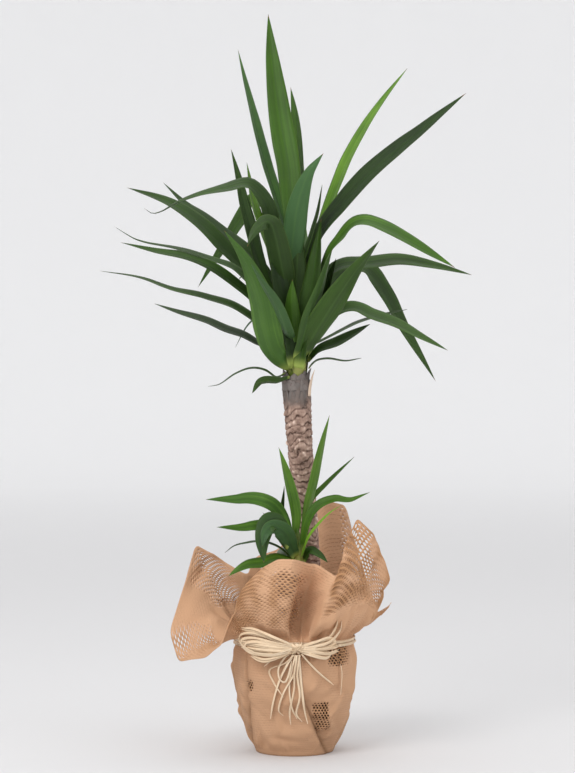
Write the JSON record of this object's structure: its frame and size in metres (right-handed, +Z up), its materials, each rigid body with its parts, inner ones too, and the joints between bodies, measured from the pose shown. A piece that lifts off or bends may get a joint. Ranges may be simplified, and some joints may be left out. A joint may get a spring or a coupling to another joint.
{
  "type": "potted yucca",
  "caption": "Yucca with a bare cane, a crown of sword-shaped leaves and a low side shoot, in a nursery pot wrapped in kraft paper tied with raffia",
  "frame": {"origin": "centre of the wrapped pot's flat underside, where it rests", "axes": "+Z up along the pot and cane, -Y towards the side with the raffia bow, +X to the right seen from there"},
  "size_m": [0.47, 0.333, 0.939],
  "materials": {
    "leaf": "satin",
    "young_stem": "satin",
    "bark": "matte",
    "soil": "matte",
    "pot_plastic": "satin",
    "kraft_paper": "matte",
    "raffia": "matte"
  },
  "bodies": {
    "root": {"nursery_pot": "pot_plastic", "potting_soil": "soil", "main_cane": "bark", "short_cane": "bark", "crown_stem": "young_stem", "shoot_stem": "young_stem", "crown_leaf_01": "leaf", "crown_leaf_02": "leaf", "crown_leaf_03": "leaf", "crown_leaf_04": "leaf", "crown_leaf_05": "leaf", "crown_leaf_06": "leaf", "crown_leaf_07": "leaf", "crown_leaf_08": "leaf", "crown_leaf_09": "leaf", "crown_leaf_10": "leaf", "crown_leaf_11": "leaf", "crown_leaf_12": "leaf", "crown_leaf_13": "leaf", "crown_leaf_14": "leaf", "crown_leaf_15": "leaf", "crown_leaf_16": "leaf", "crown_leaf_17": "leaf", "crown_leaf_18": "leaf", "crown_leaf_19": "leaf", "crown_leaf_20": "leaf", "crown_leaf_21": "leaf", "crown_leaf_22": "leaf", "crown_leaf_23": "leaf", "crown_leaf_24": "leaf", "crown_leaf_25": "leaf", "crown_leaf_26": "leaf", "crown_leaf_27": "leaf", "crown_leaf_28": "leaf", "crown_leaf_29": "leaf", "crown_leaf_30": "leaf", "crown_leaf_31": "leaf", "crown_leaf_32": "leaf", "shoot_leaf_01": "leaf", "shoot_leaf_02": "leaf", "shoot_leaf_03": "leaf", "shoot_leaf_04": "leaf", "shoot_leaf_05": "leaf", "shoot_leaf_06": "leaf", "shoot_leaf_07": "leaf", "shoot_leaf_08": "leaf", "shoot_leaf_09": "leaf", "shoot_leaf_11": "leaf", "shoot_leaf_12": "leaf", "wrap_body": "kraft_paper", "wrap_flap_left": "kraft_paper", "wrap_flap_front": "kraft_paper", "wrap_flap_right": "kraft_paper", "wrap_flap_back": "kraft_paper", "raffia_band": "raffia", "raffia_knot": "raffia", "raffia_bow_left": "raffia", "raffia_bow_right": "raffia", "raffia_tail_left": "raffia", "raffia_tail_right": "raffia"}
  },
  "joints": []
}
